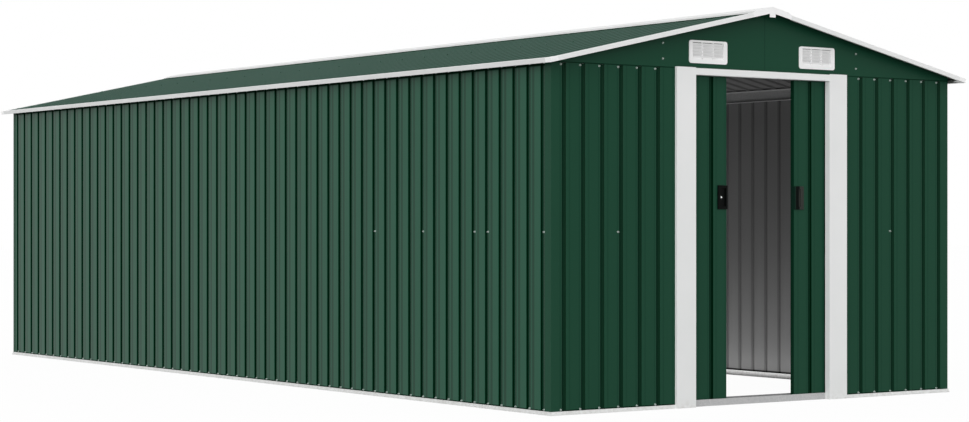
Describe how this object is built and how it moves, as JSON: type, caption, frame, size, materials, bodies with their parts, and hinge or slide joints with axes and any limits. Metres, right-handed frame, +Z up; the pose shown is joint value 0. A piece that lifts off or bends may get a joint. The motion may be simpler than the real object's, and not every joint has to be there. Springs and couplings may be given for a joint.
{
  "type": "metal storage shed",
  "caption": "Long, low metal storage shed of ribbed green sheet steel with white trim, a shallow gabled roof, louvred gable vents and sliding doors in the front gable.",
  "frame": {"origin": "on the ground under the middle of the roof, the bottom centre of the box around the whole shed", "axes": "+X to the right along the front gable as seen from outside, +Y from the front gable with the doors toward the rear gable, +Z up"},
  "size_m": [2.57, 5.876, 1.8408],
  "materials": {
    "green_sheet": "dark green coil-coated sheet, slightly glossy",
    "white_trim": "white coil-coated folded steel",
    "galvanised_steel": "bare galvanised rails and beams",
    "white_plastic": "white moulded plastic",
    "black_plastic": "black moulded plastic",
    "nylon": "natural nylon gliders"
  },
  "bodies": {
    "shed": {"left_wall": "green_sheet", "right_wall": "green_sheet", "rear_wall": "green_sheet", "front_left_wall": "green_sheet", "front_right_wall": "green_sheet", "front_left_corner": "green_sheet", "front_right_corner": "green_sheet", "rear_left_corner": "green_sheet", "rear_right_corner": "green_sheet", "front_left_gable": "green_sheet", "front_right_gable": "green_sheet", "rear_left_gable": "green_sheet", "rear_right_gable": "green_sheet", "left_roof": "green_sheet", "right_roof": "green_sheet", "left_floor_rail": "white_trim", "right_floor_rail": "white_trim", "rear_floor_rail": "white_trim", "front_left_floor_rail": "white_trim", "front_right_floor_rail": "white_trim", "left_eave_trim": "white_trim", "right_eave_trim": "white_trim", "front_verge_trims": "white_trim", "rear_verge_trims": "white_trim", "ridge_cap": "white_trim", "left_door_jamb": "white_trim", "right_door_jamb": "white_trim", "door_header": "white_trim", "door_sill": "galvanised_steel", "door_sill_base": "galvanised_steel", "door_sill_back": "galvanised_steel", "left_top_rail": "galvanised_steel", "right_top_rail": "galvanised_steel", "rear_top_rail": "galvanised_steel", "ridge_beam": "galvanised_steel", "left_purlin": "galvanised_steel", "right_purlin": "galvanised_steel", "door_track": "galvanised_steel", "roof_corner_caps": "white_plastic", "ridge_end_caps": "white_plastic", "front_left_vent": "white_plastic", "front_right_vent": "white_plastic", "rear_left_vent": "white_plastic", "rear_right_vent": "white_plastic"},
    "left_leaf": {"left_door": "green_sheet", "left_door_handle": "black_plastic", "left_door_gliders": "nylon"},
    "right_leaf": {"right_door": "green_sheet", "right_door_handle": "black_plastic", "right_door_gliders": "nylon"}
  },
  "joints": [
    {"name": "left_door_slide", "type": "slide", "parent": "shed", "child": "left_leaf", "axis": [-1, 0, 0], "range_m": [-0.195, 0.15]},
    {"name": "right_door_slide", "type": "slide", "parent": "shed", "child": "right_leaf", "axis": [1, 0, 0], "range_m": [-0.218, 0.127]}
  ]
}
